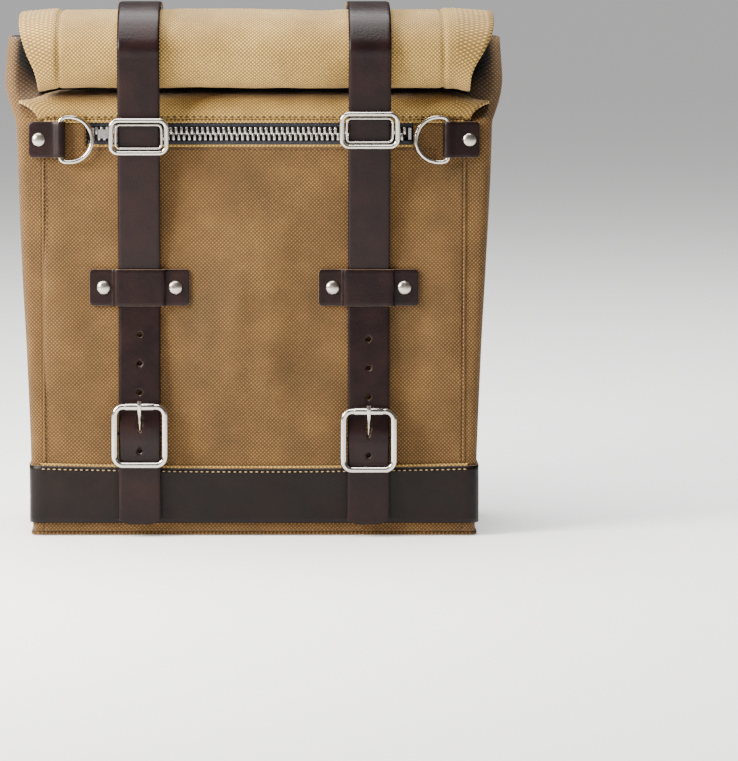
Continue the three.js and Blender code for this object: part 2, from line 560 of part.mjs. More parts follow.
// ---- Back: strap anchors and hanger loops ---------------------------------
const washerY = boardFace - BOARD - FINE;
anchorRivets.forEach(({ side, end, x, z }) => put(
  `strap_rivet_${side}_${end}`, rivet(x, z, strapBack + STRAP / 2 + FINE, washerY), METAL_LOOK,
));
const LOOP = 2.5;
const loopLow = BACK + GAP + LOOP / 2;
const loopLine = [
  [loopLow, LOOP_Z + 27], [loopLow, LOOP_Z + 11.5], [70, LOOP_Z + 10], [76.6, LOOP_Z + 5.6],
  [78.6, LOOP_Z], [76.6, LOOP_Z - 5.6], [70, LOOP_Z - 10], [loopLow, LOOP_Z - 11.5],
  [loopLow, LOOP_Z - 27],
];
SIDES.forEach(([side, sign]) => {
  const x = sign * LOOP_X;
  const mine = loopRivets.filter((r) => r.side === side);
  const leather = prism('x', strip(loopLine, LOOP), x - LOOP_HALF, x + LOOP_HALF);
  put(`hanger_loop_${side}`, cut(leather, ...mine.map((r) => rivetHole(r.x, r.z, BACK - 1, BACK + 6))),
    LEATHER_LOOK);
  mine.forEach((r) => put(
    `hanger_rivet_${side}_${r.end}`, rivet(r.x, r.z, loopLow + LOOP / 2 + FINE, washerY), METAL_LOOK,
  ));
});

export default bag;
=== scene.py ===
# %% [markdown]
# # A roll-top saddlebag in waxed canvas and leather
# The measured frame of the bag comes first: every soft piece and every bit of hardware below is
# laid on it, so nothing has to be fitted by eye. All lengths are metres.

# %% Load the measured frame
import json
from math import atan2, cos, pi, radians, sin

import bmesh
import bpy
from mathutils import Matrix, Vector, noise


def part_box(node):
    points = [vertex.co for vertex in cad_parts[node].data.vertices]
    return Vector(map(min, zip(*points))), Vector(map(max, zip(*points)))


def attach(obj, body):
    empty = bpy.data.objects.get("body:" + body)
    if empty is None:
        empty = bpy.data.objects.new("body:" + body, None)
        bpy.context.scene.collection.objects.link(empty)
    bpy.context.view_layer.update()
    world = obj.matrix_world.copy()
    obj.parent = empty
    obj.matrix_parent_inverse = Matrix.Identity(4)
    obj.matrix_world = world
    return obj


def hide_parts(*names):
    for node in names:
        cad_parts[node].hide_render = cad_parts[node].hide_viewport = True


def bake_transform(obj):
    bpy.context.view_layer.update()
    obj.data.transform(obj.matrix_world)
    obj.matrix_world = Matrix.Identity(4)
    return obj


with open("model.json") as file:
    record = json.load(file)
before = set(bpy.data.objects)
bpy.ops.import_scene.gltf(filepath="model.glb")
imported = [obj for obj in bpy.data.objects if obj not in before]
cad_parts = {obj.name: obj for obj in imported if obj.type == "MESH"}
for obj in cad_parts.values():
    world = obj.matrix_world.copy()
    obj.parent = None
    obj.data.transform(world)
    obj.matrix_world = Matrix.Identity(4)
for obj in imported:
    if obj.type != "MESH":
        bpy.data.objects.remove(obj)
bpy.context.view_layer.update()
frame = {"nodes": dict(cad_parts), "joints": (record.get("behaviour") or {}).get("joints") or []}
MM = 0.001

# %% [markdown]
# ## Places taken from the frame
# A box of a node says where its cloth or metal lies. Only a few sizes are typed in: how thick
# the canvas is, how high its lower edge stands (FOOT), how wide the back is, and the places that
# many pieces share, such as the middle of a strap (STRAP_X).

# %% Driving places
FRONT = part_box("pocket_panel")[0][1]
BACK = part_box("back_panel")[1][1]
SEAM_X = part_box("pocket_panel")[1][0]
ZIP_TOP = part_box("pocket_panel")[1][2]
TAPE_LOW, TAPE_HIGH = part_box("zip_tape_lower")[0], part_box("zip_tape_upper")[1]
GAP = 0.3 * MM
ZIP_BOTTOM = TAPE_LOW[2] - GAP
ZIP_X = (TAPE_LOW[0] - GAP, TAPE_HIGH[0] + GAP)
BAND_LOW, BAND_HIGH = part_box("base_band")[0][2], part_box("base_band")[1][2]
HALF_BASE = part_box("bottom_panel")[1][0] - 1.2 * MM
ROLL_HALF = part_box("roll_top")[1][0]
EAR_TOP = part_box("gusset_left")[1][2]
EAR_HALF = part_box("gusset_left")[0][0] * -1
BACK_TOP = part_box("back_panel")[1][2]
CANVAS = 2.0 * MM
FOOT = 2.7 * MM
HALF_BACK = 150 * MM
STRAP_X = 80 * MM
KEEPER_Z = 175 * MM
SIDES = (("left", -1), ("right", 1))
print("front at", round(FRONT, 4), "zip opening", [round(v, 4) for v in ZIP_X])

# %% [markdown]
# ## Small tools
# A colour is written as the hex value a paint chart gives and turned to linear light once. One
# function adds a shader node, sets its values and links its inputs.

# %% Colour and shader helpers
def srgb(code):
    parts = [int(code[i:i + 2], 16) / 255 for i in (1, 3, 5)]
    return tuple(c / 12.92 if c <= 0.04045 else ((c + 0.055) / 1.055) ** 2.4 for c in parts) + (1,)


def add_node(tree, kind, values=None, links=None, **settings):
    node = tree.nodes.new(kind)
    for name, value in settings.items():
        setattr(node, name, value)
    for name, value in (values or {}).items():
        node.inputs[name].default_value = value
    for name, source in (links or {}).items():
        tree.links.new(source, node.inputs[name])
    return node


def start_material(name, **surface):
    material = bpy.data.materials.new(name)
    material.use_nodes = True
    tree = material.node_tree
    tree.nodes.clear()
    shader = add_node(tree, "ShaderNodeBsdfPrincipled", surface)
    out = add_node(tree, "ShaderNodeOutputMaterial")
    tree.links.new(shader.outputs[0], out.inputs["Surface"])
    return material, tree, shader


def ramp_node(tree, factor, stops):
    ramp = add_node(tree, "ShaderNodeValToRGB", links={"Fac": factor})
    for k, (place, colour) in enumerate(stops):
        stop = ramp.color_ramp.elements[k] if k < 2 else ramp.color_ramp.elements.new(place)
        stop.position = place
        stop.color = colour
    return ramp


print("shader helpers ready")

# %% [markdown]
# ## Waxed canvas
# Cotton duck soaked in wax: a heavy diagonal weave whose raised threads catch the light, with
# cloudy patches where the wax is rubbed off. The pattern follows each piece's own cloth map, in
# metres. The real threads are about 1 mm apart; they are drawn coarser so that they still show.

# %% Waxed canvas finish
WEAVE = 1.9 * MM


def wave_scale(period):
    return 2 * pi / (20 * period)


def waxed_canvas(name, light, middle, dark):
    material, tree, shader = start_material(name, Roughness=0.78)
    shader.inputs["Sheen Weight"].default_value = 0.1
    shader.inputs["Sheen Roughness"].default_value = 0.5
    shader.inputs["Specular IOR Level"].default_value = 0.25
    cloth = add_node(tree, "ShaderNodeUVMap", uv_map="cloth").outputs[0]
    threads = []
    for turn in (45, -45):
        lay = add_node(tree, "ShaderNodeMapping", {"Rotation": (0, 0, radians(turn))}, {"Vector": cloth})
        threads.append(add_node(tree, "ShaderNodeTexWave", {
            "Scale": wave_scale(WEAVE), "Distortion": 0.5, "Detail": 1.0, "Detail Scale": 2.0,
        }, {"Vector": lay.outputs[0]}))
    weave = add_node(tree, "ShaderNodeMath", operation="MULTIPLY",
                     links={0: threads[0].outputs["Fac"], 1: threads[1].outputs["Fac"]})
    clouds = add_node(tree, "ShaderNodeTexNoise", {"Scale": 22.0, "Detail": 6.0, "Roughness": 0.6},
                      {"Vector": cloth})
    body = ramp_node(tree, clouds.outputs["Fac"],
                     [(0.3, srgb(dark)), (0.7, srgb(light)), (0.5, srgb(middle))])
    # Painted shade: the hollow attribute darkens the cloth where shade falls inside the ears.
    hollow = add_node(tree, "ShaderNodeAttribute", attribute_name="hollow", attribute_type="GEOMETRY")
    shade = ramp_node(tree, hollow.outputs["Fac"], [(0.0, srgb("#ffffff")), (1.0, srgb("#2c2620"))])
    body = add_node(tree, "ShaderNodeVectorMath", operation="MULTIPLY",
                    links={0: body.outputs[0], 1: shade.outputs[0]})
    # Painted highlight: the base colour is scaled up on the raised threads and down between them, as if
    # light caught the weave.
    raised = add_node(tree, "ShaderNodeMapRange", {"To Min": 0.42, "To Max": 1.8},
                      {"Value": weave.outputs[0]})
    lit = add_node(tree, "ShaderNodeVectorMath", operation="SCALE",
                   links={0: body.outputs[0], "Scale": raised.outputs[0]})
    tree.links.new(lit.outputs[0], shader.inputs["Base Color"])
    fuzz = add_node(tree, "ShaderNodeTexNoise", {"Scale": 900.0, "Detail": 2.0}, {"Vector": cloth})
    height = add_node(tree, "ShaderNodeMath", {1: 0.25}, {0: fuzz.outputs["Fac"], 2: weave.outputs[0]},
                      operation="MULTIPLY_ADD")
    bump = add_node(tree, "ShaderNodeBump", {"Strength": 0.7, "Distance": 0.35 * MM},
                    {"Height": height.outputs[0]})
    tree.links.new(bump.outputs[0], shader.inputs["Normal"])
    return material


CANVAS_TAN = waxed_canvas("waxed_canvas_tan", "#745529", "#644721", "#533d1a")
# Painted light: CANVAS_LIT is a lighter copy of the same canvas. It is used on the roll, the shoulder and
# the turned edges along the zip and band, which face the overhead light.
CANVAS_LIT = waxed_canvas("waxed_canvas_painted_lit", "#b59450", "#a48243", "#8f7138")
# Painted shade: the inner face is drawn dark, standing in for the shade inside the bag, its ears, the
# roll's coil and the pocket.
CANVAS_INSIDE = waxed_canvas("canvas_inner_face", "#4a4034", "#3a3129", "#2b241f")
print("canvas finishes:", CANVAS_TAN.name, CANVAS_LIT.name)

# %% [markdown]
# ## Bridle leather
# Vegetable tanned hide, dyed dark brown and waxed: satin, with fine pebbled grain about 1.5 mm
# across and slightly redder, worn patches. Cut edges are left paler where the dye stops.

# %% Leather finishes
def hide(name, dark, worn, rough, grain=1.5 * MM, depth=0.35):
    material, tree, shader = start_material(name, Roughness=rough)
    shader.inputs["Specular IOR Level"].default_value = 0.17
    place = add_node(tree, "ShaderNodeTexCoord").outputs["Object"]
    wear = add_node(tree, "ShaderNodeTexNoise", {"Scale": 45.0, "Detail": 5.0, "Roughness": 0.65},
                    {"Vector": place})
    tone = ramp_node(tree, wear.outputs["Fac"], [(0.38, srgb(dark)), (0.72, srgb(worn))])
    tree.links.new(tone.outputs[0], shader.inputs["Base Color"])
    pebbles = add_node(tree, "ShaderNodeTexVoronoi", {"Scale": 1 / grain}, {"Vector": place},
                       feature="SMOOTH_F1")
    gloss = add_node(tree, "ShaderNodeMapRange", {"To Min": rough - 0.1, "To Max": rough + 0.12},
                     {"Value": wear.outputs["Fac"]})
    tree.links.new(gloss.outputs[0], shader.inputs["Roughness"])
    bump = add_node(tree, "ShaderNodeBump", {"Strength": depth, "Distance": 0.25 * MM},
                    {"Height": pebbles.outputs["Distance"]})
    tree.links.new(bump.outputs[0], shader.inputs["Normal"])
    return material


LEATHER = hide("bridle_leather_brown", "#120808", "#1f0f0e", 0.36)
LEATHER_BAND = hide("base_leather_dark", "#0d0706", "#170c09", 0.4)
LEATHER_EDGE = hide("leather_cut_edge", "#6d5a48", "#8c755d", 0.6)
print("leather finishes ready")

# %% [markdown]
# ## Polished nickel, zip and thread
# Nickel plate on cast zinc: nearly white metal with a slight warmth, mirror-like but softly
# rippled, because it is tumbled and not buffed flat.

# %% Metal, tape, thread and board finishes
def nickel(name, tint, rough, ripple):
    material, tree, shader = start_material(name, Metallic=1.0, Roughness=rough)
    shader.inputs["Base Color"].default_value = srgb(tint)
    place = add_node(tree, "ShaderNodeTexCoord").outputs["Object"]
    waves = add_node(tree, "ShaderNodeTexNoise", {"Scale": 320.0, "Detail": 3.0}, {"Vector": place})
    gloss = add_node(tree, "ShaderNodeMapRange", {"To Min": rough - 0.05, "To Max": rough + 0.12},
                     {"Value": waves.outputs["Fac"]})
    tree.links.new(gloss.outputs[0], shader.inputs["Roughness"])
    bump = add_node(tree, "ShaderNodeBump", {"Strength": ripple, "Distance": 0.2 * MM},
                    {"Height": waves.outputs["Fac"]})
    tree.links.new(bump.outputs[0], shader.inputs["Normal"])
    return material


def woven(name, colour, sheen, pitch, depth=0.6):
    material, tree, shader = start_material(name, Roughness=0.8)
    place = add_node(tree, "ShaderNodeTexCoord").outputs["Object"]
    ribs = add_node(tree, "ShaderNodeTexWave", {"Scale": wave_scale(pitch), "Distortion": 0.3},
                    {"Vector": place})
    # Painted highlight: the lighter sheen colour lies on the rib tops.
    tone = ramp_node(tree, ribs.outputs["Fac"], [(0.2, srgb(colour)), (0.8, srgb(sheen))])
    tree.links.new(tone.outputs[0], shader.inputs["Base Color"])
    bump = add_node(tree, "ShaderNodeBump", {"Strength": depth, "Distance": 0.2 * MM},
                    {"Height": ribs.outputs["Fac"]})
    tree.links.new(bump.outputs[0], shader.inputs["Normal"])
    return material


NICKEL = nickel("polished_nickel", "#c6c0b7", 0.13, 0.08)
RIVET_METAL = nickel("hammered_nickel_rivet", "#b5aca2", 0.26, 0.6)
ZIP_METAL = nickel("plated_zip_teeth", "#c3c1bd", 0.24, 0.05)
ZIP_TAPE = woven("black_zip_tape", "#0d0e14", "#1d1f2a", 1.2 * MM)
CREAM_THREAD = woven("cream_waxed_thread", "#8f7a55", "#b09a72", 0.8 * MM)
DARK_THREAD = woven("brown_waxed_thread", "#2f2013", "#4e3822", 0.8 * MM)
BOARD = woven("stiffener_sheet", "#26262a", "#303036", 3 * MM, 0.1)
print("metal, tape and thread finishes ready")

# %% [markdown]
# ## Laying cloth
# Cloth starts as a flat grid and each of its points is moved to its place on the bag, so the
# sheet stays continuous round corners and folds. The flat grid is kept as the piece's cloth map,
# which is what the weave follows. Solidify then gives it two faces; the helper can add
# Subdivision, but every piece here is left unrounded.

# %% Cloth, ribbon and wire helpers
def finish_mesh(name, bm, materials, smooth=True):
    mesh = bpy.data.meshes.new(name)
    bm.to_mesh(mesh)
    bm.free()
    piece = bpy.data.objects.new(name, mesh)
    bpy.context.scene.collection.objects.link(piece)
    for material in materials:
        mesh.materials.append(material)
    mesh.shade_smooth() if smooth else mesh.shade_flat()
    return piece


def thicken(piece, thick, levels=1, rim=0, inner=0):
    skin = piece.modifiers.new("thickness", "SOLIDIFY")
    skin.thickness = thick
    skin.offset = -1
    skin.use_even_offset = False
    skin.material_offset_rim = rim
    skin.material_offset = inner
    if levels:
        round_off = piece.modifiers.new("soft", "SUBSURF")
        round_off.levels = round_off.render_levels = levels
        round_off.boundary_smooth = "PRESERVE_CORNERS"
    return piece


def lay(name, cells, size, place, materials, flip=False, drop=None):
    bm = bmesh.new()
    bmesh.ops.create_grid(bm, x_segments=cells[0], y_segments=cells[1], size=0.5)
    cloth = bm.loops.layers.uv.new("cloth")
    for face in bm.faces:
        for loop in face.loops:
            flat = loop.vert.co
            loop[cloth].uv = ((flat.x + 0.5) * size[0], (flat.y + 0.5) * size[1])
    for vert in bm.verts:
        vert.co = place(vert.co.x + 0.5, vert.co.y + 0.5)
    if drop:
        gone = [f for f in bm.faces if drop(f.calc_center_median())]
        bmesh.ops.delete(bm, geom=gone, context="FACES")
    if flip:
        bmesh.ops.reverse_faces(bm, faces=bm.faces)
    return finish_mesh(name, bm, materials)


def along(line, t):
    lengths = [0.0]
    for a, b in zip(line, line[1:]):
        lengths.append(lengths[-1] + (Vector(b) - Vector(a)).length)
    goal = t * lengths[-1]
    for k in range(1, len(line)):
        if goal <= lengths[k] or k == len(line) - 1:
            share = (goal - lengths[k - 1]) / (lengths[k] - lengths[k - 1])
            return Vector(line[k - 1]).lerp(Vector(line[k]), min(max(share, 0), 1))


def length_of(line):
    return sum((Vector(b) - Vector(a)).length for a, b in zip(line, line[1:]))


def flowing(points, steps=5):
    line = []
    ends = [points[0]] + list(points) + [points[-1]]
    for k in range(1, len(ends) - 2):
        a, b, c, d = (Vector(p) for p in ends[k - 1:k + 3])
        for s in range(steps):
            t = s / steps
            line.append(0.5 * (2 * b + (c - a) * t + (2 * a - 5 * b + 4 * c - d) * t * t
                               + (3 * b - a - 3 * c + d) * t ** 3))
    return line + [Vector(points[-1])]


def ribbon(name, line, x, half, thick, materials, cells=(6, 60), bow=None, rim=1, levels=1, flip=False):
    long = length_of(line)

    def place(u, v):
        at = along(line, v)
        point = Vector((x + (2 * u - 1) * half, at[0], at[1]))
        return point + (bow(u, v, point) if bow else Vector())
    piece = lay(name, cells, (2 * half, long), place, materials, flip)
    return thicken(piece, thick, levels, rim)


def wire(name, line, thick, material, closed=True, radii=None, flat=1.0, turn=None):
    curve = bpy.data.curves.new(name, "CURVE")
    curve.dimensions = "3D"
    curve.bevel_depth = thick
    curve.bevel_resolution = 5
    curve.use_fill_caps = True
    spline = curve.splines.new("POLY")
    spline.points.add(len(line) - 1)
    for k, point in enumerate(line):
        spline.points[k].co = (*point, 1)
        spline.points[k].radius = radii[k] if radii else 1
    spline.use_cyclic_u = closed
    shaped = bpy.data.objects.new(name + "_line", curve)
    bpy.context.scene.collection.objects.link(shaped)
    mesh = bpy.data.meshes.new_from_object(shaped)
    bpy.data.objects.remove(shaped)
    mesh.transform(Matrix.Scale(flat, 4, (0, 1, 0)))
    if turn:
        mesh.transform(turn)
    mesh.name = name
    mesh.materials.clear()
    mesh.materials.append(material)
    mesh.shade_smooth()
    piece = bpy.data.objects.new(name, mesh)
    bpy.context.scene.collection.objects.link(piece)
    return piece


def rounded(half_x, low, high, r, steps=8):
    line = []
    for cx, cz, start in ((half_x - r, high - r, 0), (r - half_x, high - r, 1),
                          (r - half_x, low + r, 2), (half_x - r, low + r, 3)):
        for k in range(steps + 1):
            a = (start + k / steps) * pi / 2
            line.append((cx + r * cos(a), 0, cz + r * sin(a)))
    return line


def bar(name, a, b, r, material, ends=0.25):
    bm = bmesh.new()
    long = (Vector(b) - Vector(a)).length
    bmesh.ops.create_cone(bm, cap_ends=True, segments=24, radius1=r, radius2=r, depth=long)
    soften(bm, [e for e in bm.edges if e.calc_face_angle(0) > 1], r * ends)
    way = (Vector(b) - Vector(a)).to_track_quat("Z", "Y").to_matrix().to_4x4()
    bmesh.ops.transform(bm, matrix=Matrix.Translation((Vector(a) + Vector(b)) / 2) @ way, verts=bm.verts)
    return finish_mesh(name, bm, [material])


def merge(name, pieces):
    bm = bmesh.new()
    for piece in pieces:
        bm.from_mesh(piece.data)
    material = pieces[0].data.materials[0]
    for piece in pieces:
        bpy.data.objects.remove(piece)
    return finish_mesh(name, bm, [material])


def ride(piece, body, slot, *nodes):
    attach(piece, body)
    if nodes:
        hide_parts(*nodes)
    return piece


def soft_step(value, low, high):
    t = min(max((value - low) / (high - low), 0), 1)
    return t * t * (3 - 2 * t)


def ripple(*at):
    return noise.noise(Vector(at))


def wear_edges(piece, width):
    worn = piece.modifiers.new("worn_edge", "BEVEL")
    worn.width = width
    worn.segments = 2
    worn.limit_method = "ANGLE"
    return piece


def soften(bm, edges, width, steps=2):
    bmesh.ops.bevel(bm, geom=edges, offset=width, offset_type="OFFSET", affect="EDGES", segments=steps,
                    profile=0.5, material=-1)


print("cloth and wire helpers ready")

# %% [markdown]
# ## Camera, light and floor
# A long lens a little above the middle of the bag keeps its uprights straight. A wide softbox
# overhead lights the whole bag, a small warm one close on the left makes the near side brighter
# than the far side, and a weak fill in front keeps the dark leather readable. The floor glows a
# little, so that it stays pale all the way back.

# %% Stage
CENTRE_Z = 187 * MM
FAR = 2.6
TILT = radians(5)
eye = bpy.data.cameras.new("eye")
eye.lens = 176
eye.sensor_fit = "VERTICAL"
eye.sensor_height = 36
eye.shift_x, eye.shift_y = 0.151, -0.145  # leaves room on the right and below
camera = bpy.data.objects.new("eye", eye)
bpy.context.scene.collection.objects.link(camera)
camera.location = (0, FRONT - FAR * cos(TILT), CENTRE_Z + FAR * sin(TILT))
camera.rotation_euler = (pi / 2 - TILT, 0, 0)
bpy.context.scene.camera = camera


def lamp(name, place, size, power, tint=(1, 1, 1)):
    light = bpy.data.lights.new(name, "AREA")
    light.shape = "RECTANGLE"
    light.size, light.size_y = size
    light.energy = power
    light.color = tint
    holder = bpy.data.objects.new(name, light)
    bpy.context.scene.collection.objects.link(holder)
    holder.location = place
    holder.rotation_euler = (Vector((0, 0, 0.18)) - Vector(place)).to_track_quat("-Z", "Y").to_euler()


lamp("overhead_softbox", (-0.2, 0.1, 2.0), (2.2, 1.6), 125)
lamp("key_softbox", (-0.75, -0.46, 0.6), (0.4, 0.5), 30, (1.0, 0.95, 0.88))
lamp("front_fill", (-0.3, -2.3, 0.7), (1.6, 1.2), 1)
world = bpy.data.worlds.new("studio")
world.use_nodes = True
world.node_tree.nodes["Background"].inputs[0].default_value = (1, 1, 1, 1)
world.node_tree.nodes["Background"].inputs[1].default_value = 0.16
bpy.context.scene.world = world

bm = bmesh.new()
bmesh.ops.create_grid(bm, x_segments=1, y_segments=1, size=30)
bmesh.ops.translate(bm, verts=bm.verts, vec=(0, 0, -0.5 * MM))
floor_look, _, floor_shader = start_material("pale_floor", Roughness=0.9)
floor_shader.inputs["Base Color"].default_value = srgb("#f4f3f1")
floor_shader.inputs["Emission Color"].default_value = srgb("#ffffff")
floor_shader.inputs["Emission Strength"].default_value = 0.34
finish_mesh("floor", bm, [floor_look])
print("stage ready")

# %% [markdown]
# ## The front panel
# One sheet of canvas from the base to the top of the zip, with the zip's window cut out. It is
# held in along both straps by the keepers, so it swells between them. Fine creases come from
# smooth noise, stretched sideways as cloth hangs.

# %% Front panel
def swell(x, z):
    rise = sin(pi * soft_step(z, BAND_HIGH, 268 * MM))
    middle = 1 - soft_step(abs(x), 8 * MM, 48 * MM)
    edge = soft_step(abs(x), 112 * MM, 134 * MM) * (1 - soft_step(abs(x), 138 * MM, SEAM_X))
    slant = z + 0.6 * abs(x)
    creases = ripple(x * 17, slant * 11, 1.7) + 0.45 * ripple(x * 52, slant * 30, 5.1)
    from_strap = abs(abs(x) - STRAP_X)
    keeper = 1 - soft_step(abs(z - KEEPER_Z), 14 * MM, 30 * MM)
    keeper *= 1 - soft_step(from_strap, 34 * MM, 44 * MM)
    free = soft_step(from_strap, 14 * MM, 42 * MM) * (1 - keeper)
    return rise * (4.5 * middle + 1.5 * edge + 2.6 * free * creases) * MM + rise * 0.2 * MM


def front_place(u, v):
    x = (2 * u - 1) * SEAM_X
    z = FOOT + v * (ZIP_TOP - FOOT)
    return Vector((x, FRONT - swell(x, z), z))


def in_zip_window(at):
    return ZIP_X[0] < at.x < ZIP_X[1] and at.z > ZIP_BOTTOM


front = lay("front_canvas", (98, 96), (2 * SEAM_X, ZIP_TOP), front_place, [CANVAS_TAN, CANVAS_INSIDE],
            drop=in_zip_window)
thicken(front, CANVAS, levels=0, inner=1)
ride(front, "bag", "waxed_canvas", "pocket_panel")
print("front panel points:", len(front.data.vertices))

# %% [markdown]
# ## The shoulder above the zip
# It turns over a soft roll of cloth and slopes back under the closure, so a path across the bag
# describes it. It swells a little between the straps.

# %% Shoulder
shoulder_line = flowing([
    (FRONT, ZIP_TOP + GAP), (FRONT - 1 * MM, ZIP_TOP + 5 * MM), (FRONT + 1.5 * MM, ZIP_TOP + 11.5 * MM),
    (FRONT + 9 * MM, ZIP_TOP + 16.4 * MM), (FRONT + 24 * MM, ZIP_TOP + 18.5 * MM),
    (3 * MM, ZIP_TOP + 19.6 * MM),
])


def shoulder_bow(u, v, at):
    crease = ripple(at.x * 30, v * 3, 8.2)
    end = soft_step(abs(at.x), 136 * MM, 150.5 * MM)
    tuck = 14 * MM * end * soft_step(v, 0.0, 0.3) * (1 if at.x > 0 else -1)
    swelling = -1.6 * MM * sin(pi * min(v * 2.2, 1)) * (0.6 + crease)
    sag = 0.7 * MM * crease * sin(pi * v) - 6 * MM * end * soft_step(v, 0.1, 0.5)
    return Vector((tuck, swelling + 3 * MM * end * v, sag))


shoulder = ribbon("shoulder_canvas", shoulder_line, 0, SEAM_X + 3.5 * MM, CANVAS,
                  [CANVAS_LIT, CANVAS_INSIDE], cells=(150, 30), bow=shoulder_bow, rim=0, levels=0)
shoulder.modifiers["thickness"].material_offset = 1
ride(shoulder, "bag", "waxed_canvas", "shoulder_panel")
print("shoulder depth:", round(length_of(shoulder_line), 4))

# %% [markdown]
# ## Gussets and their ears
# The gusset wraps both upright corners. Above the zip it folds outwards into the open ear that
# the rolled closure leaves at each end. FRONT_SHARE is the part of its width that lies on the
# front; up in the ear that part is pushed back, and the hollow attribute darkens it, as little
# light gets in there. The rear edge is tucked behind the back's edge at BACK_TUCK.

# %% Gussets
CORNER = 6 * MM
GUSSET_WIDE, GUSSET_TALL = 150 * MM, 345 * MM
FRONT_SHARE = 0.085
BACK_TUCK = 149.3 * MM


def gusset_place(sign):
    def place(u, v):
        z = FOOT + v * (EAR_TOP - FOOT)
        half = 155.5 * MM + 11 * MM * soft_step(z, -40 * MM, 330 * MM) ** 1.2
        arc = [(CORNER * sin(a * pi / 8), CORNER * cos(a * pi / 8)) for a in (1, 2, 3)]
        line = [(SEAM_X, FRONT), (half - CORNER, FRONT)]
        line += [(half - CORNER + s, FRONT + CORNER - c) for s, c in arc]
        line += [(half, FRONT + CORNER), (half, BACK - CORNER)]
        line += [(half - CORNER + c, BACK - CORNER + s) for s, c in arc]
        line += [(half - CORNER, BACK), (HALF_BACK, BACK)]
        x, y = along(line, u)
        rise = min(max((z - ZIP_TOP) / (EAR_TOP - ZIP_TOP), 0), 1)
        lean = sin(min(rise * 1.7, 1) * pi / 2)
        inner = SEAM_X + (ROLL_HALF + 1 * MM - SEAM_X) * min(rise * 3, 1)
        outer = half + (EAR_HALF - half) * lean
        widen = (outer - inner) / (half - SEAM_X)
        turn_in = soft_step(u, 0.93, 1.0)
        x = (inner + (x - SEAM_X) * widen) * (1 - turn_in) + BACK_TUCK * turn_in
        y = BACK - (BACK - y) * (1 - 0.6 * rise)
        hollow = soft_step(rise, 0.12, 0.5) * max(0, 1 - u / FRONT_SHARE)
        y += 34 * MM * sin(hollow * pi / 2)
        crease = ripple(y * 22, z * 12, 3.3 * sign)
        x += 1.6 * MM * crease * sin(pi * u) * (1 - 0.4 * rise)
        return Vector((sign * x, y, z))
    return place


for side, sign in SIDES:
    gusset = lay(f"side_canvas_{side}", (64, 80), (GUSSET_WIDE, GUSSET_TALL), gusset_place(sign),
                 [CANVAS_TAN, CANVAS_INSIDE], flip=sign < 0)
    # Painted shade: how dark each corner of the ear's hollow is drawn.
    hollow = gusset.data.attributes.new("hollow", "FLOAT", "CORNER")
    for loop in gusset.data.loops:
        at = gusset.data.vertices[loop.vertex_index].co
        foot = ZIP_TOP + 12 * MM + 1.3 * (abs(at.x) - ROLL_HALF)
        rim = soft_step(abs(at.x), EAR_HALF - 10 * MM, EAR_HALF - 5 * MM)
        dark = soft_step(at.z - foot, 0, 9 * MM) * (1 - rim)
        cloth_x = gusset.data.uv_layers["cloth"].data[loop.index].uv.x
        inside = cloth_x < GUSSET_WIDE * FRONT_SHARE * 1.3
        hollow.data[loop.index].value = dark if inside else 0
    thicken(gusset, CANVAS, levels=0, inner=1)
    ride(gusset, "bag", "waxed_canvas", f"gusset_{side}")
print("ears reach", round(EAR_HALF, 4))

# %% [markdown]
# ## Back and floor
# Both are flat sheets stretched over a stiffening board, so they only need soft edges.

# %% Back and floor
def back_place(u, v):
    x, z = (2 * u - 1) * HALF_BACK, FOOT + v * (BACK_TOP - FOOT)
    return Vector((x, BACK + 0.5 * MM * ripple(x * 18, z * 12, 9) - 0.5 * MM, z))


back = lay("back_canvas", (60, 64), (2 * HALF_BACK, BACK_TOP), back_place,
           [CANVAS_TAN, CANVAS_INSIDE], flip=True)
thicken(back, 1.6 * MM, levels=0, inner=1)
ride(back, "bag", "waxed_canvas", "back_panel")

low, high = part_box("bottom_panel")
bm = bmesh.new()
bmesh.ops.create_cube(bm, size=1)
bmesh.ops.scale(bm, vec=[high[i] - low[i] for i in range(3)], verts=bm.verts)
bmesh.ops.translate(bm, vec=[(high[i] + low[i]) / 2 for i in range(3)], verts=bm.verts)
uprights = [e for e in bm.edges if abs(e.verts[0].co.z - e.verts[1].co.z) > 1 * MM]
soften(bm, uprights, CORNER, 5)
soften(bm, [e for e in bm.edges if e.calc_face_angle(0) > 1], 0.7 * MM)
cloth = bm.loops.layers.uv.new("cloth")
for face in bm.faces:
    for loop in face.loops:
        loop[cloth].uv = loop.vert.co.xy
floor_cloth = finish_mesh("bottom_canvas", bm, [CANVAS_TAN], smooth=False)
ride(floor_cloth, "bag", "waxed_canvas", "bottom_panel")
print("back and bottom laid")

# %% [markdown]
# ## The rolled closure
# The neck of the bag is rolled forward on itself. Its path is a coil that starts just inside the
# top of the back, passes over, and turns in under the front. Both ends are folded in before
# rolling, which leaves a raised hem near each end. Where the neck leaves the back it bends: that
# part of the cloth blends from the bag to the turning roll, so no gap opens at the hinge. OVER is
# also the path of the straps. Both lists are side views of the coil, in millimetres.

# %% Roll
OVER = [(60.8, 320.8), (60.4, 333), (52, 350), (34, 362), (5, 367.2), (-40, 367.2), (-67, 360),
        (-79.6, 345)]
UNDER = [(-77.4, 328), (-69, 316.4), (-50, 314), (-22, 318), (2, 328), (8, 341), (-4, 352), (-35, 356),
         (-59, 350), (-66, 338), (-58, 328), (-36, 327), (-14, 336)]
ROLL = 3 * MM
NECK = [(59.2, 308), (59.4, 320)]
coil = flowing([(y * MM, z * MM) for y, z in NECK + OVER[1:] + UNDER])
FOLD_LEFT, FOLD_RIGHT = -136 * MM, 131.6 * MM


